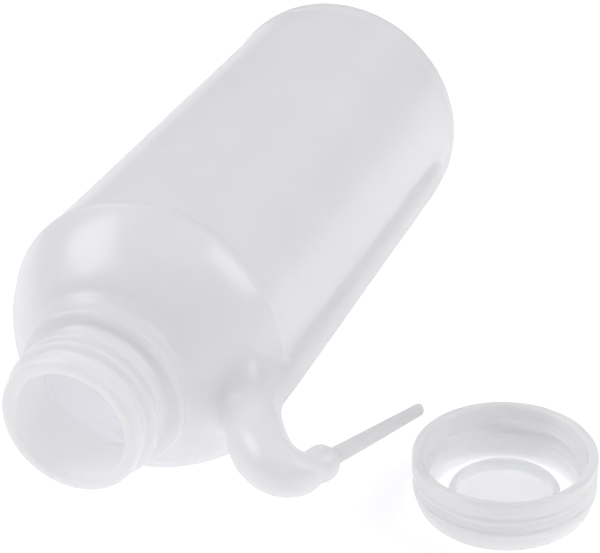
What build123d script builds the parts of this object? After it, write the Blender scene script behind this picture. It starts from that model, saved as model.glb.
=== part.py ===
from build123d import *
import os
from math import sin, cos, radians, sqrt, pi

# Squeeze wash bottle for rinsing ears: a translucent bottle with a riser tube
# moulded along its side, a swan-neck arm with a thin nozzle, and a loose
# screw cap.  The bottle lies on its side, the cap lies beside it, open side up.
# Units are millimetres, +Z is up, the bottle's axis runs along Y with the
# mouth towards -Y.  The origin is on the table, at the centre of the footprint.

# ---------------------------------------------------------------- dimensions
body_r = 34.9            # label panel radius
bumper_r = 35.3          # shoulder ring and base ring radius
wall = 1.2               # blown wall thickness
bottle_h = 175.0         # foot to mouth
shoulder_z = 135.0       # crease between the wall and the dome
dome_top_z = 153.2       # where the dome meets the neck
dome_top_r = 18.6
neck_r = 16.6            # thread root radius
bore_r = 13.4            # mouth bore radius
bead_z = 158.9           # support bead on the neck
bead_r = 20.6
thread_pitch = 3.3
thread_crest_r = 18.2
thread_z0 = 164.2        # middle of the ridge at its start
thread_turns = 1.6

tube_rho = 33.05         # riser tube centre, from the bottle's axis
tube_r = 4.9             # riser outer radius
tube_wall = 1.1
tube_z0 = 11.0           # lower closed end of the riser
tube_top = 140.0         # where the arm takes over from the riser
lean_r = 32.56           # arm centreline radius where it leans out of the riser
lean_deg = 41.2          # lean reached before the tight bend
bend_r = 7.11            # arm centreline radius round the bend
bend_deg = 157.4         # total turn of the arm
arm_r0 = 4.9             # arm outer radius: at the riser, two fullness values, at the knob
arm_ra = 6.24
arm_rb = 9.0
arm_r1 = 3.53
arm_droop = 10.0         # arm plane below horizontal, degrees

knob_r = 4.24
knob_len = 5.15
socket_r = 2.1           # seat of the nozzle in the knob
nozzle_len = 35.4        # whole nozzle piece, shank included
nozzle_shank = 5.2
nozzle_r0 = 2.08         # nozzle outer radius at the knob
nozzle_r1 = 1.42         # nozzle outer radius at the tip
nozzle_bore = 0.8

cap_h = 14.9
cap_r = 21.6
cap_in_r = 19.2          # skirt inner radius
cap_thread_r = 17.7      # crest of the cap's inner ridge
cap_x = 85.65            # cap axis from the bottle's axis
cap_y = 49.7             # cap axis behind the mouth plane

# ------------------------------------------------------------------- placing
x_min = -bumper_r
x_max = cap_x + cap_r
axis_x = -(x_min + x_max) / 2.0
axis_z = bumper_r
base_y = bottle_h / 2.0
droop = radians(arm_droop)
lay = Plane(origin=(axis_x, base_y, axis_z), x_dir=(cos(droop), 0, -sin(droop)), z_dir=(0, -1, 0)).location
cap_at = Location((axis_x + cap_x, -base_y + cap_y, 0))


def edges_of(parts):
    return Wire(parts)


def turned(edges):
    """Revolve a closed outline, drawn in the XZ plane, about Z."""
    return revolve(Face(Wire(edges)), axis=Axis.Z)


def poly(pts):
    return [Line((a[0], 0, a[1]), (b[0], 0, b[1])) for a, b in zip(pts[:-1], pts[1:])]


def curve(pts, t0=None, t1=None):
    p = [(a[0], 0, a[1]) for a in pts]
    if t0 is not None:
        return [Spline(*p, tangents=[(t0[0], 0, t0[1]), (t1[0], 0, t1[1])])]
    return [Spline(*p)]


def arc(a, m, b):
    return [ThreePointArc((a[0], 0, a[1]), (m[0], 0, m[1]), (b[0], 0, b[1]))]


# ------------------------------------------------- bottle wall of revolution
def dome(w, off=0.0):
    """Point on the dome's outside, w from 0 at the crease to 1 at the neck."""
    p, q = 1.16, 1.85
    rs = bumper_r - 0.35
    r = dome_top_r + (rs - dome_top_r) * max(1 - w ** p, 0.0) ** (1 / q)
    z = shoulder_z + w * (dome_top_z - shoulder_z)
    return r, z


ws = [0.0, 0.12, 0.26, 0.42, 0.58, 0.73, 0.85, 0.935, 0.98, 1.0]
dome_out = [dome(w) for w in ws]
dome_in = []
for i, w in enumerate(ws):
    a = dome(max(w - 1e-3, 0.0)); b = dome(min(w + 1e-3, 1.0))
    tx, tz = b[0] - a[0], b[1] - a[1]
    n = sqrt(tx * tx + tz * tz)
    nx, nz = -tz / n, tx / n          # towards the inside
    r, z = dome(w)
    dome_in.append((r + nx * wall, z + nz * wall))
dome_in[0] = (bumper_r - 0.35 - wall, shoulder_z - 0.4)
dome_in[-1] = (dome_top_r - wall, dome_top_z - wall)

split_shoulder = 130.0    # wall / shoulder section
split_neck = 154.6        # shoulder / neck section
split_base = 8.5          # base / wall section
groove_r = 18.1
inner_r = body_r - wall

# base: foot ring, pushed-up centre, rounded corner and bumper ring
base = turned(
    curve([(0, 2.4), (14, 1.95), (26.5, 0.7)], (1, 0), (1, -0.12))
    + curve([(26.5, 0.7), (28.0, 0.25), (29.6, 0.0)], (1, -0.18), (1, 0))
    + poly([(29.6, 0), (31.0, 0)])
    + arc((31.0, 0), (34.04, 1.26), (bumper_r, 4.3))
    + poly([(bumper_r, 4.3), (bumper_r, 6.2), (body_r, 7.2), (body_r, split_base), (inner_r, split_base), (inner_r, 5.2)])
    + arc((inner_r, 5.2), (32.7, 2.7), (30.2, 1.6))
    + curve([(30.2, 1.6), (28.0, 1.75), (26.2, 2.1)], (-1, 0), (-1, 0.12))
    + curve([(26.2, 2.1), (14, 3.3), (0, 3.75)], (-1, 0.12), (-1, 0))
    + poly([(0, 3.75), (0, 2.4)])
)

# straight wall
wall_ring = turned(poly([(body_r, split_base), (body_r, split_shoulder), (inner_r, split_shoulder), (inner_r, split_base), (body_r, split_base)]))

# shoulder ring and dome
shoulder = turned(
    poly([(inner_r, split_shoulder), (body_r, split_shoulder), (body_r, 131.6), (bumper_r, 132.4), (bumper_r, shoulder_z - 0.45), dome_out[0]])
    + curve(dome_out, (-0.42, 1), (-1, 0.0))
    + arc(dome_out[-1], (groove_r + 0.12, dome_top_z + 0.25), (groove_r, dome_top_z + 0.6))
    + poly([(groove_r, dome_top_z + 0.6), (groove_r, split_neck), (groove_r - 1.9, split_neck), (groove_r - 1.9, dome_top_z - 0.2)])
    + curve([(groove_r - 1.9, dome_top_z - 0.2)] + dome_in[::-1][1:], (0.6, -0.8), (0.42, -1))
    + poly([dome_in[0], (inner_r, shoulder_z - 2.0), (inner_r, split_shoulder)])
)

# neck: support bead, thread root, thick rolled lip
neck_plain = turned(
    poly([(groove_r - 1.9, split_neck), (groove_r, split_neck), (groove_r, 156.6)])
    + curve([(groove_r, 156.6), (19.4, 157.2), (bead_r, 158.4)], (0.1, 1), (0.1, 1))
    + curve([(bead_r, 158.4), (bead_r - 0.1, 159.5), (19.2, 160.4), (neck_r + 0.5, 160.9)], (0, 1), (-1, 0.35))
    + curve([(neck_r + 0.5, 160.9), (neck_r, 161.6)], (-1, 0.35), (0, 1))
    + poly([(neck_r, 161.6), (neck_r, 170.7)])
    + curve([(neck_r, 170.7), (17.0, 171.7)], (0, 1), (0, 1))
    + poly([(17.0, 171.7), (17.0, 173.4)])
    + arc((17.0, 173.4), (16.55, 174.52), (15.4, bottle_h))
    + poly([(15.4, bottle_h), (14.6, bottle_h)])
    + arc((14.6, bottle_h), (13.75, 174.65), (bore_r, 173.8))
    + poly([(bore_r, 173.8), (bore_r, 160.6)])
    + curve([(bore_r, 160.6), (14.9, 157.6), (groove_r - 1.9, split_neck)], (0, -1), (0, -1))
)


def ridge(radius, crest, pitch, turns, z0, half_root, half_crest, inward=False):
    """One helical thread ridge that fades out at both ends."""
    helix = Helix(pitch=pitch, height=pitch * turns, radius=radius)
    start = helix @ 0
    pl = Plane(origin=start, x_dir=(start.X, start.Y, 0), z_dir=helix % 0)
    d = crest - radius
    root = 0.35 if not inward else -0.35
    sec = pl * Polyline((-root, -half_root), (d, -half_crest), (d, half_crest), (-root, half_root), close=True)
    ribbon = sweep(Face(Wire(sec.edges())), path=helix, is_frenet=True)
    for turn in (0.0, turns):
        at = Rot(0, 0, 360.0 * turn) * Pos(0, 0, pitch * turn)
        if inward:
            run_out = at * Pos(radius - 8.0, 0, 0) * Cylinder(8.0, 3.2)
        else:
            run_out = at * Pos(radius + 2.0, 0, 0) * Box(4.0, 30.0, 3.2)
        ribbon = ribbon - run_out
    return ribbon.moved(Location((0, 0, z0)))


neck_ridge = ridge(neck_r, thread_crest_r, thread_pitch, thread_turns, thread_z0, 1.35, 0.45)
neck = neck_plain + neck_ridge

# ----------------------------------------------------- riser tube and the arm
tube_foot = tube_z0 + tube_r
riser_out = Pos(tube_rho, 0, tube_foot) * Cylinder(tube_r, tube_top - tube_foot, align=(Align.CENTER, Align.CENTER, Align.MIN))
riser_out = riser_out + Pos(tube_rho, 0, tube_foot) * Sphere(tube_r)
riser_in = Pos(tube_rho, 0, tube_foot) * Cylinder(tube_r - tube_wall, tube_top - tube_foot, align=(Align.CENTER, Align.CENTER, Align.MIN))
riser_in = riser_in + Pos(tube_rho, 0, tube_foot) * Sphere(tube_r - tube_wall)
# inlet window from the bottle into the riser, just above the base
inlet = Pos(tube_rho - 4.5, 0, tube_z0 + 8.0) * Rot(0, 90, 0) * Cylinder(3.0, 6.0)
side_tube = riser_out - riser_in - inlet

# arm: leans out of the riser on one arc, then bends outward and back on a
# tighter one; the tube swells towards the bend and narrows to the knob
lean, turn_end = radians(lean_deg), radians(bend_deg)
lean_len, bend_len = lean_r * lean, bend_r * (turn_end - lean)
stations = []
n_lean, n_bend = 7, 8
for k in range(n_lean + n_bend + 1):
    if k <= n_lean:
        th = lean * k / n_lean
        x, z = tube_rho + lean_r * (1 - cos(th)), tube_top + lean_r * sin(th)
        u = lean_r * th / (lean_len + bend_len)
    else:
        th = lean + (turn_end - lean) * (k - n_lean) / n_bend
        x = tube_rho + lean_r * (1 - cos(lean)) + bend_r * (cos(lean) - cos(th))
        z = tube_top + lean_r * sin(lean) + bend_r * (sin(th) - sin(lean))
        u = (lean_len + bend_r * (th - lean)) / (lean_len + bend_len)
    r = arm_r0 * (1 - u) ** 3 + 3 * arm_ra * u * (1 - u) ** 2 + 3 * arm_rb * u * u * (1 - u) + arm_r1 * u ** 3
    stations.append(((x, z), (sin(th), cos(th)), r))
end_p, end_d, _ = stations[-1]


def skin(inset):
    rings = []
    for (x, z), (dx, dz), r in stations:
        pl = Plane(origin=(x, 0, z), x_dir=(0, 1, 0), z_dir=(dx, 0, dz))
        rings.append(Face(Wire(Edge.make_circle(r - inset, pl))))
    return loft(rings)


arm_out = skin(0.0)
arm_in = skin(tube_wall)
end_plane = Plane(origin=(end_p[0], 0, end_p[1]), x_dir=(0, 1, 0), z_dir=(end_d[0], 0, end_d[1]))
# knob: shallow waist, then a rounded bulb with the nozzle's seat
knob_prof = (
    poly([(arm_r1 - tube_wall + 0.05, -0.5), (arm_r1 - 0.1, -0.5), (arm_r1, 0)])
    + curve([(arm_r1, 0), (knob_r - 0.12, 0.9), (knob_r, 1.7), (knob_r - 0.3, 3.2), (socket_r + 0.75, knob_len - 0.1)], (0.35, 1), (-1, 0.4))
    + poly([(socket_r + 0.75, knob_len - 0.1), (socket_r, knob_len), (socket_r, 0.6), (arm_r1 - tube_wall + 0.05, -0.5)])
)
knob = end_plane.location * turned(knob_prof)
spout_arm = (arm_out - arm_in) + knob

# nozzle: thin tapered tube pressed into the knob
z_s = knob_len - nozzle_shank
noz_prof = poly([
    (nozzle_bore + 0.35, z_s + 0.6), (socket_r, z_s + 0.6), (socket_r, knob_len), (nozzle_r0, knob_len + 0.02), (nozzle_r1, z_s + nozzle_len - 0.2),
    (nozzle_r1 - 0.2, z_s + nozzle_len), (nozzle_bore, z_s + nozzle_len), (nozzle_bore + 0.35, z_s + 0.6)])
nozzle = end_plane.location * turned(noz_prof)

# -------------------------------------------------- bodies cut to each other
clear_tube = Pos(tube_rho, 0, tube_foot) * Cylinder(tube_r, 145.0, align=(Align.CENTER, Align.CENTER, Align.MIN))
clear_tube = clear_tube + Pos(tube_rho, 0, tube_foot) * Sphere(tube_r)
bottle_wall = wall_ring - clear_tube
bottle_shoulder = (shoulder - (riser_out + arm_out)).solids().sort_by(SortBy.VOLUME)[-1]
bottle_neck = neck
bottle_base = base

# ------------------------------------------------------------------ screw cap
cap_plain = turned(
    poly([(0, 0.5), (13.0, 0.5), (14.0, 0.0), (16.9, 0.0)])
    + arc((16.9, 0.0), (19.5, 1.05), (20.75, 3.6))
    + poly([(20.75, 3.6), (21.15, 5.4)])
    + curve([(21.15, 5.4), (21.5, 6.3), (21.1, 7.2)], (0.3, 1), (-0.3, 1))
    + poly([(21.1, 7.2), (21.1, 9.0)])
    + curve([(21.1, 9.0), (21.6, 9.9), (21.4, 10.8)], (0.3, 1), (-0.1, 1))
    + poly([(21.4, 10.8), (cap_r, 11.6), (cap_r, cap_h - 0.8)])
    + arc((cap_r, cap_h - 0.8), (cap_r - 0.23, cap_h - 0.23), (cap_r - 0.8, cap_h))
    + poly([(cap_r - 0.8, cap_h), (cap_in_r + 0.8, cap_h)])
    + arc((cap_in_r + 0.8, cap_h), (cap_in_r + 0.25, cap_h - 0.3), (cap_in_r, cap_h - 0.9))
    + poly([(cap_in_r, cap_h - 0.9), (cap_in_r, 4.2)])
    + arc((cap_in_r, 4.2), (18.3, 2.3), (16.2, 1.5))
    + poly([(16.2, 1.5), (13.2, 1.5), (13.1, 3.6)])
    + arc((13.1, 3.6), (12.4, 4.35), (11.6, 3.6))
    + poly([(11.6, 3.6), (11.4, 1.5), (0, 1.5), (0, 0.5)])
)
cap_ridge = ridge(cap_in_r, cap_thread_r, thread_pitch, 1.35, 6.4, 1.25, 0.4, inward=True)
screw_cap = cap_plain + cap_ridge

nodes = {
    "bottle_base": lay * bottle_base,
    "bottle_wall": lay * bottle_wall,
    "bottle_shoulder": lay * bottle_shoulder,
    "bottle_neck": lay * bottle_neck,
    "side_tube": lay * side_tube,
    "spout_arm": lay * spout_arm,
    "nozzle": lay * nozzle,
    "screw_cap": cap_at * screw_cap,
}

os.makedirs("parts", exist_ok=True)
for name, shape in nodes.items():
    solids = shape.solids()
    print(name, "solids", len(solids), "volume", round(sum(s.volume for s in solids), 1), "valid", all(s.is_valid for s in solids))
    body = solids[0] if len(solids) == 1 else Compound(children=solids)
    body.label = name
    export_step(body, "parts/" + name + ".step")
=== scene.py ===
import math

import bpy
import numpy as np
from mathutils import Matrix, Vector


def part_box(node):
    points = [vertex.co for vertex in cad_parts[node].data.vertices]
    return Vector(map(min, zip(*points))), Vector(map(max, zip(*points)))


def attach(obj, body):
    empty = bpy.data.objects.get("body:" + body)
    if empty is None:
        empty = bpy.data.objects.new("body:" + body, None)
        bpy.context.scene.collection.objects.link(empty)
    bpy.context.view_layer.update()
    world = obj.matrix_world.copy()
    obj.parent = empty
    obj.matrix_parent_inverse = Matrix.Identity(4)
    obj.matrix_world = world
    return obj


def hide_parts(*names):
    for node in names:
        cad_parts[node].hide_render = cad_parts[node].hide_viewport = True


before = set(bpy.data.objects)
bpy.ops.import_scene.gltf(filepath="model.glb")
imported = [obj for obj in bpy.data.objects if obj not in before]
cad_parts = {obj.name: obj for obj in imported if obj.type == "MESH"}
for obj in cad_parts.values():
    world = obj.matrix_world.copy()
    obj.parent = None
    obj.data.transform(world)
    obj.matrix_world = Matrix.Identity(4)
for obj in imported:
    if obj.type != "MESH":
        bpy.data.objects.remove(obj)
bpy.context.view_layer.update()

# ---------------------------------------------------------------- anchors
# Everything below is worked out in millimetres in two local frames that are
# placed from the CAD's own boxes: the bottle standing on its foot (x towards
# the arm, z up its axis) and the cap standing on its top.
MM = 0.001
b_lo, b_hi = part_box("bottle_base")
AX, AZ, BY = (b_lo.x + b_hi.x) / 2, (b_lo.z + b_hi.z) / 2, b_hi.y
c_lo, c_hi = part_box("screw_cap")
CX, CY, CZ = (c_lo.x + c_hi.x) / 2, (c_lo.y + c_hi.y) / 2, c_lo.z
DROOP = math.radians(10.0)


def to_row(p):
    """Bottle frame in mm -> row frame in metres."""
    c, s = math.cos(DROOP), math.sin(DROOP)
    p = np.asarray(p, float)
    return np.stack([AX + (p[:, 0] * c + p[:, 1] * s) * MM, BY - p[:, 2] * MM, AZ + (-p[:, 0] * s + p[:, 1] * c) * MM], 1)


def cap_row(p):
    p = np.asarray(p, float)
    return np.stack([CX + p[:, 0] * MM, CY + p[:, 1] * MM, CZ + p[:, 2] * MM], 1)


# ------------------------------------------------------------ small helpers
def smooth(t):
    t = np.clip(t, 0.0, 1.0)
    return t * t * (3 - 2 * t)


class Path:
    """A polyline in the (r, z) half plane, built from lines, arcs and curves."""

    def __init__(self, r, z):
        self.p = [(float(r), float(z))]

    def line(self, r, z, n=1):
        a = self.p[-1]
        for k in range(1, n + 1):
            t = k / n
            self.p.append((a[0] + (r - a[0]) * t, a[1] + (z - a[1]) * t))
        return self

    def arc(self, m, b, n):
        a = self.p[-1]
        (x1, y1), (x2, y2), (x3, y3) = a, m, b
        d = 2 * (x1 * (y2 - y3) + x2 * (y3 - y1) + x3 * (y1 - y2))
        ux = ((x1 * x1 + y1 * y1) * (y2 - y3) + (x2 * x2 + y2 * y2) * (y3 - y1) + (x3 * x3 + y3 * y3) * (y1 - y2)) / d
        uy = ((x1 * x1 + y1 * y1) * (x3 - x2) + (x2 * x2 + y2 * y2) * (x1 - x3) + (x3 * x3 + y3 * y3) * (x2 - x1)) / d
        r = math.hypot(x1 - ux, y1 - uy)
        a1, am, a3 = (math.atan2(y - uy, x - ux) for x, y in (a, m, b))
        way = (a3 - a1) % (2 * math.pi)
        if (am - a1) % (2 * math.pi) > way:
            way -= 2 * math.pi
        for k in range(1, n + 1):
            t = a1 + way * k / n
            self.p.append((ux + r * math.cos(t), uy + r * math.sin(t)))
        return self

    def curve(self, pts, n, t0=None, t1=None):
        """Smooth curve through the points, n steps a span, with optional end directions."""
        q = np.array([self.p[-1]] + list(pts), float)
        m = np.zeros_like(q)
        m[1:-1] = (q[2:] - q[:-2]) / 2
        m[0] = (q[1] - q[0]) if t0 is None else np.array(t0, float) / np.hypot(*t0) * np.hypot(*(q[1] - q[0]))
        m[-1] = (q[-1] - q[-2]) if t1 is None else np.array(t1, float) / np.hypot(*t1) * np.hypot(*(q[-1] - q[-2]))
        for i in range(len(q) - 1):
            span = np.hypot(*(q[i + 1] - q[i]))
            ma, mb = m[i], m[i + 1]
            if 0 < i:
                ma = ma / max(np.hypot(*ma), 1e-9) * span
            if i < len(q) - 2:
                mb = mb / max(np.hypot(*mb), 1e-9) * span
            for k in range(1, n + 1):
                t = k / n
                h = (2 * t ** 3 - 3 * t ** 2 + 1) * q[i] + (t ** 3 - 2 * t ** 2 + t) * ma + (-2 * t ** 3 + 3 * t ** 2) * q[i + 1] + (t ** 3 - t ** 2) * mb
                self.p.append((float(h[0]), float(h[1])))
        return self

    def array(self):
        return np.array(self.p)


def spline(knots, n):
    """Natural cubic spline through rows of knots, chord length parameter, clamped start; returns points and directions."""
    k = np.array(knots, float)
    d = np.r_[0, np.cumsum(np.linalg.norm(np.diff(k[:, :2], axis=0), axis=1))]
    h = np.diff(d)
    m = len(k)
    A = np.zeros((m, m)); B = np.zeros((m, k.shape[1]))
    A[0, 0], A[0, 1] = 2 * h[0], h[0]
    first = (k[1] - k[0]) / h[0]
    B[0] = 6 * ((k[1] - k[0]) / h[0] - first)
    for i in range(1, m - 1):
        A[i, i - 1], A[i, i], A[i, i + 1] = h[i - 1], 2 * (h[i - 1] + h[i]), h[i]
        B[i] = 6 * ((k[i + 1] - k[i]) / h[i] - (k[i] - k[i - 1]) / h[i - 1])
    A[-1, -1] = 1
    M = np.linalg.solve(A, B)
    s = np.linspace(0, d[-1], n)
    j = np.clip(np.searchsorted(d, s, side="right") - 1, 0, m - 2)
    a = (d[j + 1] - s)[:, None]; b = (s - d[j])[:, None]; hj = h[j][:, None]
    p = (M[j] * a ** 3 + M[j + 1] * b ** 3) / (6 * hj) + (k[j] / hj - M[j] * hj / 6) * a + (k[j + 1] / hj - M[j + 1] * hj / 6) * b
    v = (-M[j] * a ** 2 + M[j + 1] * b ** 2) / (2 * hj) - (k[j] / hj - M[j] * hj / 6) + (k[j + 1] / hj - M[j + 1] * hj / 6)
    v = v[:, :2] / np.linalg.norm(v[:, :2], axis=1)[:, None]
    return p, v, s


def wobble(a, b, seed, octaves=3):
    """Smooth low waviness over two coordinates, the same on every run."""
    rng = np.random.RandomState(seed)
    out = np.zeros(np.broadcast(a, b).shape)
    for o in range(octaves):
        for _ in range(4):
            ka, kb, ph, w = rng.randint(1, 3 + 2 * o), rng.uniform(0.02, 0.05) * (o + 1), rng.uniform(0, 6.28), rng.uniform(0.5, 1) / (o + 1)
            out = out + w * np.sin(ka * a + kb * b + ph)
    return out / 6.0


def build(name, verts, faces, place, flip=False):
    me = bpy.data.meshes.new(name)
    me.from_pydata(place(verts).tolist(), [], [tuple(f[::-1]) if flip else tuple(f) for f in faces])
    me.validate()
    me.update()
    me.polygons.foreach_set("use_smooth", np.ones(len(me.polygons), bool))
    ob = bpy.data.objects.new(name, me)
    bpy.context.scene.collection.objects.link(ob)
    return ob


def grid_faces(ids, close):
    """Quads over a table of vertex ids, closed round its second direction if asked."""
    a = ids[:-1]; b = ids[1:]
    if close:
        q = np.stack([a, np.roll(a, -1, 1), np.roll(b, -1, 1), b], -1)
    else:
        q = np.stack([a[:, :-1], a[:, 1:], b[:, 1:], b[:, :-1]], -1)
    return q.reshape(-1, 4)


# ============================================================ bottle outline
BODY_R, BUMP_R, WALL = 34.9, 35.3, 1.2
NECK_R, BORE_R, PITCH, CREST = 16.6, 13.4, 3.3, 18.2
SHOULDER, DOME_TOP, DOME_R = 135.0, 153.2, 18.6


def dome(w):
    r = DOME_R + (BUMP_R - 0.35 - DOME_R) * max(1 - w ** 1.16, 0.0) ** (1 / 1.85)
    return r, SHOULDER + w * (DOME_TOP - SHOULDER)


def even(pts, step):
    """The polyline again, in even steps of about that length."""
    q = np.array(pts)
    d = np.r_[0, np.cumsum(np.hypot(*np.diff(q, axis=0).T))]
    n = max(2, int(round(d[-1] / step)))
    s = np.linspace(0, d[-1], n + 1)
    return list(zip(np.interp(s, d, q[:, 0]), np.interp(s, d, q[:, 1])))


outer = Path(0.35, 2.4)
outer.curve([(8.0, 2.36), (14.0, 1.95), (21.0, 1.35), (26.5, 0.7)], 5, (1, 0), (1, -0.14))
outer.curve([(28.0, 0.25), (29.6, 0.0)], 3, (1, -0.16), (1, 0))
outer.line(31.0, 0.0, 2)
outer.arc((34.04, 1.26), (BUMP_R, 4.3), 10)
outer.line(BUMP_R, 6.0, 3)
outer.curve([(BUMP_R - 0.2, 6.75), (BODY_R, 7.5)], 3, (0, 1), (0, 1))
outer.line(BODY_R, 28.0, 22)
outer.line(BODY_R, 128.0, 30)
outer.line(BODY_R, 130.9, 4)
outer.curve([(BODY_R - 0.08, 131.55), (BODY_R + 0.2, 132.0), (BUMP_R, 132.5)], 3, (0, 1), (0, 1))
outer.line(BUMP_R, 134.1, 4)
outer.arc((BUMP_R - 0.1, 134.65), (BUMP_R - 0.33, 135.05), 4)
dome_pts = even([dome(w) for w in np.r_[np.linspace(0.012, 0.9, 90), np.linspace(0.9, 1.0, 60)[1:]]], 0.72)
for r_, z_ in dome_pts:
    if r_ > 22.4:
        outer.p.append((r_, z_))
# the dome sweeps up into the collar's bead, and a hollow groove runs between bead and thread
outer.curve([(21.25, 153.25), (20.45, 154.1), (20.12, 155.2), (20.12, 156.4), (20.32, 157.4), (20.6, 158.35), (20.42, 159.0), (19.75, 159.35), (18.9, 159.2),
             (18.0, 159.35), (17.25, 159.9), (16.8, 160.8), (NECK_R, 161.9)], 3, (-1, 0.22), (0, 1))
outer.line(NECK_R, 170.6, 34)
outer.curve([(16.72, 171.1), (17.0, 171.7)], 3, (0, 1), (0.1, 1))
outer.line(17.0, 173.4, 4)
outer.arc((16.55, 174.52), (15.4, 175.0), 7)
outer.line(14.6, 175.0, 2)
n_outer = len(outer.p)
inner = outer
inner.arc((13.75, 174.65), (BORE_R, 173.8), 5)
inner.line(BORE_R, 160.6, 10)
inner.curve([(13.9, 158.9), (14.9, 157.2), (15.9, 155.6), (16.9, 153.9)], 3, (0, -1), (0.5, -0.86))
dome_in = []
for w in np.linspace(0.985, 0.0, 70):
    a_, b_ = dome(max(w - 1e-3, 0)), dome(min(w + 1e-3, 1))
    tx, tz = b_[0] - a_[0], b_[1] - a_[1]
    nn = math.hypot(tx, tz)
    r_, z_ = dome(w)
    dome_in.append((r_ - tz / nn * WALL, z_ + tx / nn * WALL))
dome_in = [q for q in dome_in if q[1] < 152.3]
for q in even(dome_in, 1.6):
    inner.p.append(q)
inner.line(BUMP_R - WALL, 132.6, 2)
inner.line(BODY_R - WALL, 131.0, 2)
inner.line(BODY_R - WALL, 8.0, 40)
inner.line(BUMP_R - WALL, 6.2, 2)
inner.line(BUMP_R - WALL, 5.2, 1)
inner.arc((32.7, 2.7), (30.2, 1.6), 7)
inner.curve([(28.0, 1.75), (26.2, 2.1)], 2, (-1, 0), (-1, 0.12))
inner.curve([(20.0, 2.8), (14.0, 3.3), (7.0, 3.68), (0.35, 3.75)], 4, (-1, 0.12), (-1, 0))
prof = inner.array()
n_rows = len(prof)

# columns round the axis: close together on both sides of the riser and at the mould line opposite
half = np.r_[np.arange(0, 24.7, 0.82), np.arange(26.4, 177.0, 1.86), 177.8, 178.7, 179.2, 179.5, 179.8]
theta = np.radians(np.r_[half, 180.0, 360.0 - half[:0:-1]])
n_cols = len(theta)
th_s = (theta + math.pi) % (2 * math.pi) - math.pi

# ------------------------------------------------------- riser and arm curve
T_RHO, T_R, T_WALL = 33.05, 4.9, 1.1
CREST_X = 37.95
arm_knots = [
    (CREST_X - 6.5, 131.25, 6.5), (CREST_X - 6.5, 140.0, 6.5), (32.97, 146.9, 6.4), (35.9, 153.2, 6.4), (38.97, 158.65, 6.85),
    (42.8, 162.7, 6.58), (47.1, 164.5, 5.92), (50.6, 163.7, 4.95), (52.33, 160.92, 4.05)]
arm_p, arm_v, arm_s = spline(arm_knots, 181)
END = arm_p[-1]
END_D = np.array([math.sin(math.radians(156.8)), math.cos(math.radians(156.8))])
KNOB_R, KNOB_C, KNOB_LEN = 4.25, 2.92, 6.6

# the riser swells out of the wall over a long nose at its foot
nose = np.linspace(0.12, math.pi / 2, 13)
T_NOSE, T_FULL = 14.0, 27.0
up_z = np.linspace(T_FULL, 131.25, 24)[1:-1]
up_r = T_R + 1.6 * smooth((up_z - 20.0) / 118.0)      # and widens towards the shoulder, its crest staying level
line_x = np.r_[T_RHO * np.ones(len(nose)), CREST_X - up_r, arm_p[:, 0]]
line_z = np.r_[T_FULL - (T_FULL - T_NOSE) * np.cos(nose), up_z, arm_p[:, 1]]
line_r = np.r_[T_R * np.sin(nose), up_r, arm_p[:, 2]]


def tube_dist(P, inset=0.0, keep=None):
    """Signed distance to the swept tube, P in mm in the bottle frame."""
    x0, z0, r0 = line_x[:-1], line_z[:-1], line_r[:-1] - inset
    dx, dz, dr = np.diff(line_x), np.diff(line_z), np.diff(line_r)
    ll = dx * dx + dz * dz
    out = np.empty(len(P))
    for a in range(0, len(P), 4000):
        q = P[a:a + 4000]
        vx = q[:, 0][:, None] - x0; vz = q[:, 2][:, None] - z0
        t = np.clip((vx * dx + vz * dz) / ll, 0, 1)
        ex, ez = vx - t * dx, vz - t * dz
        d = np.sqrt(ex * ex + ez * ez + (q[:, 1] ** 2)[:, None]) - (r0 + t * dr)
        out[a:a + 4000] = d.min(1)
    return out


def line_dist(r, z, pr):
    """Distance in the (r, z) plane to a polyline."""
    x0, z0 = pr[:-1, 0], pr[:-1, 1]
    dx, dz = np.diff(pr[:, 0]), np.diff(pr[:, 1])
    ll = dx * dx + dz * dz + 1e-12
    out = np.empty(len(r))
    for a in range(0, len(r), 4000):
        vx = r[a:a + 4000, None] - x0; vz = z[a:a + 4000, None] - z0
        t = np.clip((vx * dx + vz * dz) / ll, 0, 1)
        out[a:a + 4000] = np.sqrt(((vx - t * dx) ** 2 + (vz - t * dz) ** 2).min(1))
    return out


o_lo = int(np.argmin(np.abs(prof[:n_outer, 1] - 7.5) + 100 * (prof[:n_outer, 0] < 30)))
out_prof = prof[o_lo:n_outer][prof[o_lo:n_outer, 1] <= 156.6]
in_all = prof[n_outer:]
in_prof = in_all[(in_all[:, 1] <= 156.0) & (in_all[:, 1] >= 7.0) & (in_all[:, 0] > 15.0)][::-1]


def body_dist(P, pr):
    r = np.hypot(P[:, 0], P[:, 1]); z = P[:, 2]
    R = np.interp(z, pr[:, 1], pr[:, 0])
    return line_dist(r, z, pr) * np.where(r > R, 1.0, -1.0)


def smin(a, b, k):
    h = np.maximum(k - np.abs(a - b), 0) / k
    return np.minimum(a, b) - h * h * k * 0.25


lean = slice(0, int(np.argmax(arm_p[:, 1])))


def blend_k(P):
    """Fillet size: crisp along the riser, generous on the flanks of the arm's root, little on its crest."""
    xc = np.interp(P[:, 2], arm_p[lean, 1], arm_p[lean, 0])
    flank = 0.1 + 0.9 * smooth((np.arctan2(np.abs(P[:, 1]), P[:, 0] - xc) - 0.5) / 0.9)
    return 1.1 + 8.4 * smooth((P[:, 2] - 132.0) / 15.0) * flank


def f_out(P):
    return smin(body_dist(P, out_prof), tube_dist(P), blend_k(P))


def f_in(P):
    a = -body_dist(P, in_prof)          # positive inside the cavity
    b = tube_dist(P)                    # positive outside the tube
    return smin(a, b, 1.2)


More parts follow.
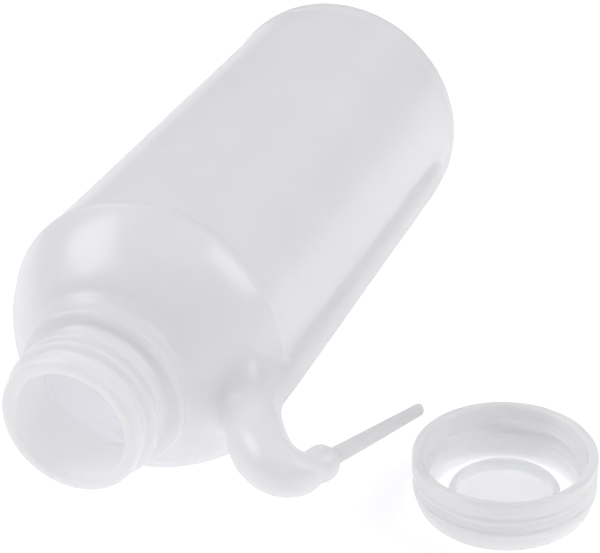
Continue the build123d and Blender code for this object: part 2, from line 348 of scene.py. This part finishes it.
def settle(P, f, steps=8, cap=1.2):
    """Moves points onto f = 0."""
    h = 0.02
    for _ in range(steps):
        v = f(P)
        g = np.stack([(f(P + h * e) - v) / h for e in np.eye(3)], 1)
        n2 = np.maximum((g * g).sum(1), 0.25)
        step = (v / n2)[:, None] * g
        size = np.linalg.norm(step, axis=1)
        P = P - step * np.minimum(1.0, cap / np.maximum(size, 1e-9))[:, None]
    return P


# ------------------------------------------------------------ the whole grid
R_ = prof[:, 0][:, None] * np.ones(n_cols)
Z_ = prof[:, 1][:, None] * np.ones(n_cols)
TH = np.ones((n_rows, 1)) * th_s


def ridge_height(t_deg, z, z0, pitch, turns, half_root, half_crest, height, limit):
    """Height of a helical ridge over its root, running out at both ends."""
    best = np.zeros_like(z)
    for k in range(-1, int(turns) + 3):
        ang = t_deg + 360.0 * k
        zc = z0 + pitch * ang / 360.0
        side = 1 - smooth((np.abs(z - zc) - half_crest) / (half_root - half_crest))
        end = np.minimum(ang, 360.0 * turns - ang)
        top = np.where(end > 0, np.minimum(height, limit(np.clip(end, 0, 60))), 0.0)
        best = np.maximum(best, side * top)
    return best


is_thread = (np.arange(n_rows) < n_outer)[:, None] & (Z_ > 161.0) & (Z_ < 171.4) & (R_ < 17.3)
deg = np.degrees(TH) % 360.0
h_ = ridge_height(deg, Z_, 164.2, PITCH, 1.6, 1.35, 0.5, CREST - NECK_R, lambda e: NECK_R * (1 / np.cos(np.radians(e)) - 1))
R_ = np.where(is_thread, np.maximum(R_, NECK_R + h_), R_)

# slight waviness of a blown wall, and the fine mould line opposite the riser
row = np.arange(n_rows)[:, None]
on_wall = (row < n_outer) & (Z_ > 8) & (R_ > 22)
fade = smooth((Z_ - 8.0) / 8.0) * (1 - smooth((Z_ - 146.0) / 6.0))
R_ = R_ + np.where(on_wall, 0.045 * fade * (wobble(TH, Z_, 5) - 1.0), 0.0)
seam = np.exp(-(((np.abs(TH) - math.pi) * 35.0) / 0.16) ** 2)
R_ = R_ + np.where((row < n_outer) & (Z_ > 7.6) & (R_ > 18), 0.05 * seam, 0.0)

V = np.stack([R_ * np.cos(TH), R_ * np.sin(TH), Z_], -1).reshape(-1, 3)
ids = np.arange(n_rows * n_cols).reshape(n_rows, n_cols)

# the hole that the arm grows out of
rows_hole = [i for i in range(n_outer) if 141.6 <= prof[i, 1] <= 150.6 and prof[i, 0] > 18.2]
i0, i1 = rows_hole[0], rows_hole[-1]
M = int(np.sum((th_s > 0) & (th_s <= math.radians(12.9))))      # columns each side of the middle
faces_all = grid_faces(ids, True)
fi = faces_all.reshape(n_rows - 1, n_cols, 4)
keep_mask = np.ones((n_rows - 1, n_cols), bool)
cols_in = [j % n_cols for j in range(-M, M)]
keep_mask[i0:i1, cols_in] = False
loop = [ids[i0, j % n_cols] for j in range(0, M)]
loop += [ids[i, M] for i in range(i0, i1)]
loop += [ids[i1, j % n_cols] for j in range(M, -M, -1)]
loop += [ids[i, -M % n_cols] for i in range(i1, i0, -1)]
loop += [ids[i0, j % n_cols] for j in range(-M, 0)]
loop = np.array(loop)
K = len(loop)

# rings of the arm from where it is clear of the shoulder to its end, then the knob
start = int(np.argmin(np.abs(arm_p[:, 1] - 155.2)))
s_ring = np.arange(arm_s[start], arm_s[-1] - 0.3, 0.62)
s_ring = np.r_[s_ring, arm_s[-1]]
ring_c = np.stack([np.interp(s_ring, arm_s, arm_p[:, i]) for i in range(3)], 1)
ring_v = np.stack([np.interp(s_ring, arm_s, arm_v[:, i]) for i in range(2)], 1)
ring_v /= np.linalg.norm(ring_v, axis=1)[:, None]
ring_v[-1] = END_D
# the tight bend: section planes turn evenly so that they don't cross in the throat
knob_prof = Path(arm_knots[-1][2], 0.0)
knob_prof.curve([(3.99, 0.75), (4.05, 1.5), (4.2, 2.5), (KNOB_R, 3.3), (4.12, 4.3), (3.72, 5.35), (3.05, 6.2), (2.55, 6.52)], 3, (-0.2, 1), (-1, 0.45))
knob_prof.arc((2.3, 6.6), (2.13, 6.52), 3)
kp = knob_prof.array()[1:]
psi = 2 * math.pi * np.arange(K) / K


def ring(c, v, r, lift=0.0):
    """A circle of K points about the arm, from its outer side towards +y."""
    nx, nz = v[1], -v[0]      # away from the bottle at the start
    return np.stack([c[0] + v[0] * lift + r * np.cos(psi) * nx, r * np.sin(psi), c[1] + v[1] * lift + r * np.cos(psi) * nz], 1)


arm_rings = [ring(c, v, c[2]) for c, v in zip(ring_c, ring_v)]
knob_rings = [ring(END, END_D, r, z) for r, z in kp]
base_n = len(V)
first = arm_rings[0]
Lp = V[loop]
TN = 12
trans = []
for k in range(1, TN):
    t = k / TN
    trans.append(Lp * (1 - t) + first * t)
allrings = trans + arm_rings + knob_rings
V = np.vstack([V] + allrings)
ring_ids = np.vstack([loop[None]] + [base_n + np.arange(len(allrings) * K).reshape(-1, K)])
skin = np.vstack([fi[keep_mask], grid_faces(ring_ids, True)])
# seat of the nozzle: down into the knob and closed
seat = []
for r, z in ((2.1, 6.3), (2.1, 2.0), (1.2, 1.6)):
    seat.append(ring(END, END_D, r, z))
b2 = len(V)
V = np.vstack([V] + seat + [np.array([[END[0] + END_D[0] * 1.6, 0.0, END[1] + END_D[1] * 1.6]])])
seat_ids = np.vstack([ring_ids[-1][None], b2 + np.arange(3 * K).reshape(3, K)])
skin = np.vstack([skin, grid_faces(seat_ids, True)])
tip_id = len(V) - 1
last = seat_ids[-1]

# --- settle the riser's bulge, the arm's root and the throat onto one smooth surface
use = np.zeros(len(V), bool)
near = (np.abs(TH) < np.radians(np.where(Z_ > 131.0, 42.0, 24.5))) & (row < n_outer) & (Z_ > 8.6) & (Z_ < 156.2) & (R_ > 19.5)
use[:base_n] = near.reshape(-1)
use[base_n:base_n + (TN - 1) * K] = True
n_arm = len(arm_rings)
use[base_n + (TN - 1) * K: base_n + (TN - 1 + n_arm - 1) * K] = True
used_v = np.unique(skin)
live = np.zeros(len(V), bool); live[used_v] = True
use &= live

edges = np.unique(np.sort(np.vstack([skin[:, [0, 1]], skin[:, [1, 2]], skin[:, [2, 3]], skin[:, [3, 0]]]), 1), axis=0)
relax = np.zeros(len(V), bool)
relax[base_n:base_n + (TN - 1 + n_arm - 1) * K] = True
dz = np.zeros((n_rows, n_cols), bool)
dz[max(i0 - 11, 0):i1 + 2, :] = True
dz &= (np.abs(TH) < math.radians(27.0)) & (row < n_outer)
relax[:base_n] = dz.reshape(-1)
relax &= live & use
ri = np.where(relax)[0]
pos_of = -np.ones(len(V), int); pos_of[ri] = np.arange(len(ri))
e_sel = relax[edges[:, 0]] | relax[edges[:, 1]]
ed = edges[e_sel]
ui = np.where(use)[0]
V[ui] = settle(V[ui], f_out, 7, 1.5)
for it in range(26):
    acc = np.zeros((len(V), 3)); cnt = np.zeros(len(V))
    np.add.at(acc, ed[:, 0], V[ed[:, 1]]); np.add.at(acc, ed[:, 1], V[ed[:, 0]])
    np.add.at(cnt, ed[:, 0], 1); np.add.at(cnt, ed[:, 1], 1)
    tgt = acc[ri] / cnt[ri][:, None]
    V[ri] = V[ri] * 0.45 + tgt * 0.55
    V[ri] = settle(V[ri], f_out, 1 if it % 5 else 2, 0.8)
V[ui] = settle(V[ui], f_out, 4, 0.5)
# a last light smoothing rounds the throat and the waist
for it in range(3):
    acc = np.zeros((len(V), 3)); cnt = np.zeros(len(V))
    np.add.at(acc, ed[:, 0], V[ed[:, 1]]); np.add.at(acc, ed[:, 1], V[ed[:, 0]])
    np.add.at(cnt, ed[:, 0], 1); np.add.at(cnt, ed[:, 1], 1)
    V[ri] = V[ri] * 0.6 + 0.4 * acc[ri] / cnt[ri][:, None]

# --- the cavity's skin wraps the riser inside the wall
near_in = (np.abs(TH) < math.radians(24.5)) & (row > n_outer) & (Z_ > 9.0) & (Z_ < 151.5) & (R_ > 20)
qi = np.where(near_in.reshape(-1))[0]
V[qi] = settle(V[qi], f_in, 9, 1.2)

skin_faces = [tuple(f) for f in skin.tolist()]
# poles: outside and inside of the base, and the seat's floor
p0 = len(V)
V = np.vstack([V, [[0, 0, prof[0, 1]]], [[0, 0, prof[-1, 1]]]])
for j in range(n_cols):
    k = (j + 1) % n_cols
    skin_faces.append((int(ids[0, k]), int(ids[0, j]), p0))
    skin_faces.append((int(ids[-1, j]), int(ids[-1, k]), p0 + 1))
for j in range(K):
    skin_faces.append((int(last[j]), int(last[(j + 1) % K]), tip_id))

# drop vertices that the hole left over
used = np.unique(np.concatenate([np.array(f) for f in skin_faces]))
remap = -np.ones(len(V), int); remap[used] = np.arange(len(used))
skin_faces = [tuple(int(remap[i]) for i in f) for f in skin_faces]
VB = V[used]

# --- the water way inside riser, arm and knob
way_s = np.r_[np.arange(0.0, arm_s[-1], 1.2), arm_s[-1]]
way = [(np.interp(t, line_z[:60], line_x[:60]), t, 0.0, 1.0, np.interp(t, line_z[:60], line_r[:60]) - T_WALL) for t in np.linspace(T_FULL, 131.25, 40)[:-1]]
for s in way_s:
    c = [np.interp(s, arm_s, arm_p[:, i]) for i in range(3)]
    v = np.array([np.interp(s, arm_s, arm_v[:, i]) for i in range(2)]); v /= np.linalg.norm(v)
    way.append((c[0], c[1], v[0], v[1], max(c[2] - T_WALL, 1.8)))
NW = 36
pw = 2 * math.pi * np.arange(NW) / NW
W = []
r0 = way[0][4]
for a in (80, 62, 44, 28, 14):
    W.append((way[0][0], way[0][1] - r0 * math.sin(math.radians(a)), 0.0, 1.0, r0 * math.cos(math.radians(a))))
W += way
ec = W[-1]
for r, z in ((2.6, 0.5), (1.6, 0.9), (0.6, 1.05)):
    W.append((ec[0] + END_D[0] * z, ec[1] + END_D[1] * z, END_D[0], END_D[1], r))
wv = []
for x, z, vx, vz, r in W:
    nx, nz = vz, -vx
    wv.append(np.stack([x + r * np.cos(pw) * nx, r * np.sin(pw), z + r * np.cos(pw) * nz], 1))
WV = np.vstack(wv)
w_ids = np.arange(len(WV)).reshape(-1, NW)
w_faces = [tuple(f[::-1]) for f in grid_faces(w_ids, True).tolist()]
WV = np.vstack([WV, [[W[0][0], 0, W[0][1] - 0.1]], [[W[-1][0] + END_D[0] * 0.05, 0, W[-1][1] + END_D[1] * 0.05]]])
for j in range(NW):
    k = (j + 1) % NW
    w_faces.append((int(w_ids[0, j]), int(w_ids[0, k]), len(WV) - 2))
    w_faces.append((int(w_ids[-1, k]), int(w_ids[-1, j]), len(WV) - 1))
off = len(VB)
VB = np.vstack([VB, WV])
skin_faces += [tuple(i + off for i in f) for f in w_faces]

bottle = build("bottle", VB, skin_faces, to_row)

# how much plastic the light goes through: neck and lip most, then knob and base; the same value also paints light on
# the riser, arm and inner walls (a lighter colour that lifts their shade) and paints shade in the groove under the
# bead
z_ = VB[:, 2]
rr_ = np.hypot(VB[:, 0], VB[:, 1])
# painted shade: the hollow groove between bead and thread gets a darker colour (the thin-wall colour), though its
# plastic is not thin there
groove_painted_shade = np.exp(-((z_ - 160.2) / 1.1) ** 2) * (rr_ < 18.9)
neck_bulk_and_groove_shade = (0.65 * smooth((z_ - 151.0) / 5.0) + 0.1 * smooth((z_ - 161.0) / 1.5)) * (rr_ < 25) * (1 - 0.95 * groove_painted_shade)
base_t = 0.35 * (1 - smooth((z_ - 3.5) / 5.0))
tube_t = tube_dist(VB)
# painted light: the riser (fully) and the arm (half) get the lighter colour, which lifts the shade that the body
# casts on the riser's flank; these tubes are hollow, not thick plastic
riser_arm_painted_light = (1.0 - 0.5 * smooth((z_ - 128.0) / 22.0)) * (1 - smooth((tube_t - 0.2) / (1.2 + 4.5 * smooth((z_ - 132.0) / 9.0)))) * (z_ > 9)
END_W = VB - np.array([END[0], 0.0, END[1]])
along = END_W[:, 0] * END_D[0] + END_W[:, 2] * END_D[1]
knob_t = 0.5 * smooth((along + 2.0) / 4.0) * (np.hypot(END_W[:, 0] - along * END_D[0], END_W[:, 1]) < 6) * (rr_ > 45)
# painted light: the inside surfaces of the wall get a lighter colour so the shaded hollow inside the neck and body
# looks brighter
inner_wall_painted_light = 0.5 * (body_dist(VB, in_prof) < 0.35)
thickness_and_painted_light = np.clip(np.maximum.reduce([neck_bulk_and_groove_shade, base_t, riser_arm_painted_light, knob_t, inner_wall_painted_light]), 0, 1)
at = bottle.data.attributes.new("thickness_and_painted_light", "FLOAT", "POINT")
at.data.foreach_set("value", thickness_and_painted_light.astype(np.float32))

# ================================================================== nozzle
NOZ = 30.2
nz_prof = Path(2.05, 2.2)
nz_prof.line(2.08, KNOB_LEN - 0.15, 6)
nz_prof.line(2.06, KNOB_LEN + 0.3, 2)
nz_prof.line(1.46, KNOB_LEN + NOZ - 0.9, 30)
nz_prof.curve([(1.36, KNOB_LEN + NOZ - 0.25), (1.05, KNOB_LEN + NOZ)], 4, (-0.02, 1), (-1, 0.25))
nz_prof.arc((0.9, KNOB_LEN + NOZ - 0.02), (0.82, KNOB_LEN + NOZ - 0.15), 3)
nz_prof.line(0.95, KNOB_LEN + 2.0, 10)
nz_prof.line(1.25, 2.4, 4)
nz_prof.line(1.3, 2.2, 1)
npf = nz_prof.array()
NN = 56
pn = 2 * math.pi * np.arange(NN) / NN
nv = []
for r, z in npf:
    over = max(z - (KNOB_LEN + NOZ - 0.9), 0.0) / 0.9
    slant = 0.28 * over * np.cos(pn - 0.8)
    sag = 0.16 * max((z - KNOB_LEN) / NOZ, 0.0) ** 2
    nx, nz_ = END_D[1], -END_D[0]
    c = np.array([END[0] + END_D[0] * z + sag * nx, END[1] + END_D[1] * z + sag * nz_])
    nv.append(np.stack([c[0] + r * np.cos(pn) * nx + slant * END_D[0], r * np.sin(pn), c[1] + r * np.cos(pn) * nz_ + slant * END_D[1]], 1))
NV = np.vstack(nv)
n_ids = np.arange(len(NV)).reshape(-1, NN)
n_ids = np.vstack([n_ids, n_ids[:1]])
nozzle = build("nozzle_tube", NV, grid_faces(n_ids, True).tolist(), to_row)

# ===================================================================== cap
CAP_H, CAP_R, CAP_IN, CAP_CREST = 14.9, 21.6, 19.2, 17.7
cp = Path(0.3, 0.5)
cp.line(12.8, 0.5, 14)
cp.curve([(13.4, 0.22), (14.1, 0.0)], 3, (1, 0), (1, 0))
cp.line(16.9, 0.0, 4)
cp.arc((19.5, 1.05), (20.75, 3.6), 10)
cp.curve([(21.05, 4.9)], 4, (0.3, 1), (0.1, 1))
cp.curve([(21.25, 5.35), (21.5, 5.9), (21.5, 6.7), (21.22, 7.2), (21.12, 7.55)], 3, (0.1, 1), (0, 1))
cp.line(21.12, 8.85, 4)
cp.curve([(21.25, 9.2), (21.55, 9.65), (21.58, 10.35), (21.36, 10.9), (21.32, 11.2)], 3, (0.1, 1), (0, 1))
cp.curve([(21.45, 11.65), (CAP_R, 12.2)], 3, (0.1, 1), (0, 1))
cp.line(CAP_R, CAP_H - 0.8, 4)
cp.arc((CAP_R - 0.23, CAP_H - 0.23), (CAP_R - 0.8, CAP_H), 6)
cp.line(CAP_IN + 0.8, CAP_H, 3)
cp.arc((CAP_IN + 0.25, CAP_H - 0.3), (CAP_IN, CAP_H - 0.9), 5)
n_cap_out = len(cp.p)
cp.line(CAP_IN, 4.2, 42)
cp.arc((18.3, 2.3), (16.2, 1.5), 8)
cp.line(13.45, 1.5, 4)
cp.arc((13.2, 1.6), (13.15, 1.85), 3)
cp.line(13.1, 3.6, 5)
cp.arc((12.4, 4.35), (11.6, 3.6), 8)
cp.line(11.42, 1.8, 5)
cp.arc((11.3, 1.58), (11.1, 1.5), 3)
cp.line(0.3, 1.5, 14)
cprof = cp.array()
nc = 220
ct = 2 * math.pi * np.arange(nc) / nc
CR = cprof[:, 0][:, None] * np.ones(nc)
CZZ = cprof[:, 1][:, None] * np.ones(nc)
crow = np.arange(len(cprof))[:, None]
inner_wall = (crow >= n_cap_out - 1) & (CZZ > 4.0) & (CR > 19.0)
cdeg = (np.degrees(ct) % 360.0)[None, :] * np.ones((len(cprof), 1))


def run_out(e):
    e = np.radians(np.clip(e, 0, 44))
    return CAP_IN - (11.2 * np.cos(e) + np.sqrt(np.maximum(64 - (11.2 * np.sin(e)) ** 2, 0)))


ch = ridge_height(cdeg, CZZ, 6.4, PITCH, 1.35, 1.25, 0.45, CAP_IN - CAP_CREST, run_out)
CR = np.where(inner_wall, CR - ch, CR)
CV = np.stack([CR * np.cos(ct), CR * np.sin(ct), CZZ], -1).reshape(-1, 3)
c_ids = np.arange(len(CV)).reshape(len(cprof), nc)
c_faces = [tuple(f) for f in grid_faces(c_ids, True).tolist()]
CV = np.vstack([CV, [[0, 0, 0.5]], [[0, 0, 1.5]]])
for j in range(nc):
    k = (j + 1) % nc
    c_faces.append((int(c_ids[0, k]), int(c_ids[0, j]), len(CV) - 2))
    c_faces.append((int(c_ids[-1, j]), int(c_ids[-1, k]), len(CV) - 1))
cap = build("cap_shell", CV, c_faces, cap_row)


# =============================================================== materials
def nodes_of(name):
    m = bpy.data.materials.new(name)
    m.use_nodes = True
    nt = m.node_tree
    return m, nt, nt.nodes["Principled BSDF"], nt.links


def noise(nt, vec, scale, detail=3.0, rough=0.5):
    n = nt.nodes.new("ShaderNodeTexNoise")
    n.inputs["Scale"].default_value = scale
    n.inputs["Detail"].default_value = detail
    n.inputs["Roughness"].default_value = rough
    nt.links.new(vec, n.inputs["Vector"])
    return n.outputs["Fac"]


def mapr(nt, fac, a, b, c, d):
    n = nt.nodes.new("ShaderNodeMapRange")
    n.inputs["From Min"].default_value, n.inputs["From Max"].default_value = a, b
    n.inputs["To Min"].default_value, n.inputs["To Max"].default_value = c, d
    nt.links.new(fac, n.inputs["Value"])
    return n.outputs["Result"]


def ramp(nt, fac, stops):
    n = nt.nodes.new("ShaderNodeValToRGB")
    e = n.color_ramp.elements
    e[0].position, e[0].color = stops[0][0], (*stops[0][1], 1)
    e[1].position, e[1].color = stops[-1][0], (*stops[-1][1], 1)
    for p, c in stops[1:-1]:
        x = e.new(p)
        x.color = (*c, 1)
    nt.links.new(fac, n.inputs["Fac"])
    return n.outputs["Color"]


def mixc(nt, fac, a, b, mode="MIX"):
    n = nt.nodes.new("ShaderNodeMix")
    n.data_type = "RGBA"
    n.blend_type = mode
    if isinstance(fac, float):
        n.inputs[0].default_value = fac
    else:
        nt.links.new(fac, n.inputs[0])
    for sock, val in ((n.inputs[6], a), (n.inputs[7], b)):
        if isinstance(val, tuple):
            sock.default_value = (*val, 1)
        else:
            nt.links.new(val, sock)
    return n.outputs[2]


def plastic(name, thin, solid_and_painted_light_colour, rough, radius, through, flat=None):
    """Milky polyethylene: whiter where the thickness value is high, which marks thick plastic and also carries
    painted light on riser, arm and inner walls and painted shade in the neck groove; cloudy, with an uneven gloss,
    faint hazy patches and a fine skin.
    """
    m, nt, b, L = nodes_of(name)
    tc = nt.nodes.new("ShaderNodeTexCoord")
    vec = tc.outputs["Object"]
    cloud = noise(nt, vec, 34.0, 4.0)
    fine = noise(nt, vec, 620.0, 3.0)
    skin_ = noise(nt, vec, 2600.0, 2.0)
    haze = noise(nt, vec, 90.0, 5.0)
    tint = ramp(nt, cloud, [(0.3, (0.975, 0.975, 0.98)), (0.7, (1.0, 1.0, 1.0))])
    if flat is None:
        # base colour runs from the thin to the solid colour by the thickness value, so the painted light on riser,
        # arm and inner walls and the painted shade in the neck groove come in here
        at_ = nt.nodes.new("ShaderNodeAttribute")
        at_.attribute_name = "thickness_and_painted_light"
        base = mixc(nt, at_.outputs["Fac"], thin, solid_and_painted_light_colour)
    else:
        base = mixc(nt, mapr(nt, fine, 0.35, 0.65, 0.0, 1.0), thin, solid_and_painted_light_colour)
    col = mixc(nt, 1.0, base, tint, "MULTIPLY")
    L.new(col, b.inputs["Base Color"])
    r1 = mapr(nt, cloud, 0.3, 0.7, rough - 0.02, rough + 0.02)
    r2 = mapr(nt, haze, 0.4, 0.75, 0.0, 0.012)
    add = nt.nodes.new("ShaderNodeMath"); add.operation = "ADD"
    L.new(r1, add.inputs[0]); L.new(r2, add.inputs[1])
    L.new(add.outputs[0], b.inputs["Roughness"])
    bmp = nt.nodes.new("ShaderNodeBump")
    bmp.inputs["Strength"].default_value = 0.05
    bmp.inputs["Distance"].default_value = 0.0003
    L.new(fine, bmp.inputs["Height"])
    bmp2 = nt.nodes.new("ShaderNodeBump")
    bmp2.inputs["Strength"].default_value = 0.04
    bmp2.inputs["Distance"].default_value = 0.0001
    L.new(skin_, bmp2.inputs["Height"])
    L.new(bmp.outputs["Normal"], bmp2.inputs["Normal"])
    L.new(bmp2.outputs["Normal"], b.inputs["Normal"])
    b.inputs["IOR"].default_value = 1.51
    b.inputs["Specular IOR Level"].default_value = 0.8
    b.inputs["Subsurface Weight"].default_value = 1.0
    b.inputs["Subsurface Radius"].default_value = (1.0, 1.0, 1.0)
    b.inputs["Subsurface Scale"].default_value = radius
    # part of the light passes right through the wall, so the hollow inside fills with light too
    tr = nt.nodes.new("ShaderNodeBsdfTranslucent")
    L.new(col, tr.inputs["Color"])
    mix = nt.nodes.new("ShaderNodeMixShader")
    if flat is None:
        L.new(mapr(nt, at_.outputs["Fac"], 0.0, 1.0, through, through + 0.15), mix.inputs[0])
    else:
        mix.inputs[0].default_value = through
    out = next(n for n in nt.nodes if n.type == "OUTPUT_MATERIAL")
    L.new(b.outputs[0], mix.inputs[1])
    L.new(tr.outputs[0], mix.inputs[2])
    L.new(mix.outputs[0], out.inputs["Surface"])
    return m


m_bottle = plastic("bottle_polyethylene", (0.972, 0.970, 0.982), (0.994, 0.994, 0.997), 0.232, 0.0018, 0.4)
m_nozzle = plastic("nozzle_polyethylene", (0.90, 0.90, 0.905), (0.92, 0.92, 0.925), 0.33, 0.0018, 0.3, flat=1)
m_cap = plastic("cap_polyethylene", (0.929, 0.930, 0.935), (0.942, 0.943, 0.948), 0.225, 0.0018, 0.4, flat=1)
for ob, m in ((bottle, m_bottle), (nozzle, m_nozzle), (cap, m_cap)):
    ob.data.materials.append(m)

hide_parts("bottle_base", "bottle_wall", "bottle_shoulder", "bottle_neck", "side_tube", "spout_arm")
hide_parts("nozzle")
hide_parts("screw_cap")
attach(bottle, "bottle"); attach(nozzle, "bottle"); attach(cap, "cap")

# ============================================================ floor, light
sc = bpy.context.scene
sc.view_settings.view_transform = "Standard"
# light goes through the milky wall and on between the walls, so it gets enough bounces
sc.cycles.max_bounces = 24
sc.cycles.diffuse_bounces = 14
sc.cycles.glossy_bounces = 6
sc.cycles.transmission_bounces = 12
me = bpy.data.meshes.new("floor")
S, N = 4.0, 40
fx = np.linspace(-S, S, N + 1)
fv = [(x, y, 0.0) for y in fx for x in fx]
ff = [(r * (N + 1) + c, r * (N + 1) + c + 1, (r + 1) * (N + 1) + c + 1, (r + 1) * (N + 1) + c) for r in range(N) for c in range(N)]
me.from_pydata(fv, [], ff)
floor = bpy.data.objects.new("floor", me)
sc.collection.objects.link(floor)
m, nt, b, L = nodes_of("floor_paper")
tc = nt.nodes.new("ShaderNodeTexCoord")
nf = noise(nt, tc.outputs["Object"], 900.0, 3.0)
L.new(ramp(nt, nf, [(0.3, (0.93, 0.93, 0.93)), (0.7, (0.95, 0.95, 0.95))]), b.inputs["Base Color"])
b.inputs["Roughness"].default_value = 0.7
# a light table: the paper glows a little from below, which fills the shadows
b.inputs["Emission Color"].default_value = (1.0, 1.0, 1.0, 1.0)
b.inputs["Emission Strength"].default_value = 0.36
floor.data.materials.append(m)

w = bpy.data.worlds.new("studio"); sc.world = w; w.use_nodes = True
wt = w.node_tree
bg = wt.nodes["Background"]
tc = wt.nodes.new("ShaderNodeTexCoord")
sep = wt.nodes.new("ShaderNodeSeparateXYZ")
wt.links.new(tc.outputs["Generated"], sep.inputs[0])
cr = wt.nodes.new("ShaderNodeValToRGB")
cr.color_ramp.elements[0].position = 0.0; cr.color_ramp.elements[0].color = (0.375, 0.375, 0.38, 1)
cr.color_ramp.elements[1].position = 0.7; cr.color_ramp.elements[1].color = (0.42, 0.42, 0.426, 1)
wt.links.new(sep.outputs["Z"], cr.inputs["Fac"])
wt.links.new(cr.outputs["Color"], bg.inputs["Color"])
bg.inputs["Strength"].default_value = 1.0


def area(name, loc, aim, size, power, size_y=None):
    li = bpy.data.lights.new(name, "AREA")
    li.energy = power
    li.size = size
    if size_y:
        li.shape = "RECTANGLE"; li.size_y = size_y
    ob = bpy.data.objects.new(name, li)
    ob.location = loc
    ob.rotation_euler = (Vector(aim) - Vector(loc)).to_track_quat("-Z", "Y").to_euler()
    sc.collection.objects.link(ob)
    return ob


def soft_box(name, az, el, dist, wide, tall, radiance):
    """A softbox seen from the object at that azimuth (0 = +Y, 90 = +X) and elevation."""
    a, e = math.radians(az), math.radians(el)
    d = Vector((math.sin(a) * math.cos(e), math.cos(a) * math.cos(e), math.sin(e)))
    return area(name, d * dist + Vector((0, 0, 0.03)), (0, 0, 0.03), wide, radiance * math.pi * wide * tall, tall)


soft_box("left_box", -103, 45, 1.2, 0.85, 0.66, 3.0)
soft_box("right_box", 79, 40, 1.2, 0.36, 0.8, 3.6)
soft_box("top_box", 88, 70, 1.3, 0.9, 0.9, 0.65)
soft_box("back_box", 16, 29, 1.5, 0.6, 0.36, 0.45)

# ================================================================== camera
UNIT = 0.035
f, th, ro, H, xb, yb, turn, px, py = 1872.302, math.radians(30.081), math.radians(2.386), 7.509, 0.317, 14.461, math.radians(247.711), 313.951, 306.033
g = math.radians(270) - turn
cg, sg = math.cos(g), math.sin(g)


def rot(v):
    return Vector((v[0] * cg - v[1] * sg, v[0] * sg + v[1] * cg, v[2]))


pos = rot((-xb, -yb, H - 1)) * UNIT + Vector((AX, BY, AZ))
c, s = math.cos(ro), math.sin(ro)
r0v, u0v, f0v = Vector((1, 0, 0)), Vector((0, math.sin(th), math.cos(th))), Vector((0, math.cos(th), -math.sin(th)))
rt, up, fw = rot(c * r0v - s * u0v), rot(s * r0v + c * u0v), rot(f0v)
cam = bpy.data.cameras.new("camera")
co = bpy.data.objects.new("camera", cam)
sc.collection.objects.link(co)
co.matrix_world = Matrix(((rt.x, up.x, -fw.x, pos.x), (rt.y, up.y, -fw.y, pos.y), (rt.z, up.z, -fw.z, pos.z), (0, 0, 0, 1)))
cam.sensor_width = 36; cam.sensor_fit = "HORIZONTAL"
cam.lens = f / 600 * 36
cam.shift_x = -(px - 300) / 600
cam.shift_y = (py - 276.5) / 600
cam.clip_start = 0.01
sc.camera = co
